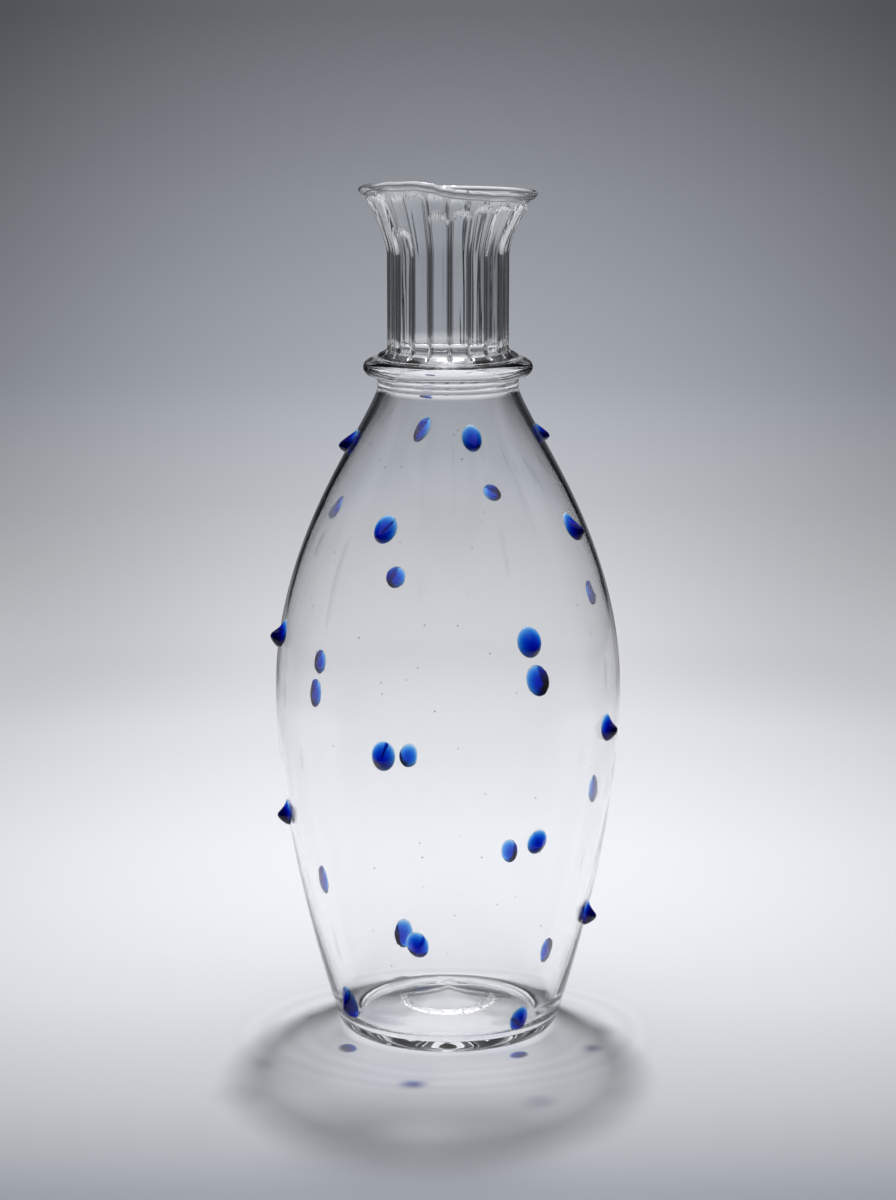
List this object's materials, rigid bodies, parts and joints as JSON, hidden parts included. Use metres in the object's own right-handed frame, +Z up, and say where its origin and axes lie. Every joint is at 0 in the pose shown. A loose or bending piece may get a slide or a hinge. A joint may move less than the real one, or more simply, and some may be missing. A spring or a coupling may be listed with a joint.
{
  "type": "carafe",
  "caption": "Tall blown-glass carafe with an egg-shaped body, pushed-up base, collar ring, ribbed neck, flared open mouth and pointed cobalt drops.",
  "frame": {"origin": "on the carafe's axis, at the level of the ring that it stands on", "axes": "+Z up along the carafe's axis, -Y towards the viewer of the front, +X to the right"},
  "size_m": [0.1072, 0.1064, 0.2641],
  "materials": {
    "clear_glass": "clear, fire-polished, with a few small seeds and faint streaks",
    "cobalt_glass": "deep cobalt blue, transparent, glossy"
  },
  "bodies": {
    "root": {"body": "clear_glass", "neck": "clear_glass", "collar_ring": "clear_glass", "collar_thread_upper": "clear_glass", "collar_thread_lower": "clear_glass", "pontil_scar": "clear_glass", "prunt_a1": "cobalt_glass", "prunt_a2": "cobalt_glass", "prunt_a3": "cobalt_glass", "prunt_a4": "cobalt_glass", "prunt_b1": "cobalt_glass", "prunt_b2": "cobalt_glass", "prunt_b3": "cobalt_glass", "prunt_b4": "cobalt_glass", "prunt_c1": "cobalt_glass", "prunt_c2": "cobalt_glass", "prunt_c3": "cobalt_glass", "prunt_c4": "cobalt_glass", "prunt_d1": "cobalt_glass", "prunt_d2": "cobalt_glass", "prunt_d3": "cobalt_glass", "prunt_d4": "cobalt_glass", "prunt_e1": "cobalt_glass", "prunt_e2": "cobalt_glass", "prunt_e3": "cobalt_glass", "prunt_e4": "cobalt_glass", "prunt_f1": "cobalt_glass", "prunt_f2": "cobalt_glass", "prunt_f3": "cobalt_glass", "prunt_f4": "cobalt_glass", "prunt_g1": "cobalt_glass", "prunt_g2": "cobalt_glass", "prunt_g3": "cobalt_glass", "prunt_g4": "cobalt_glass", "prunt_extra": "cobalt_glass"}
  },
  "joints": []
}
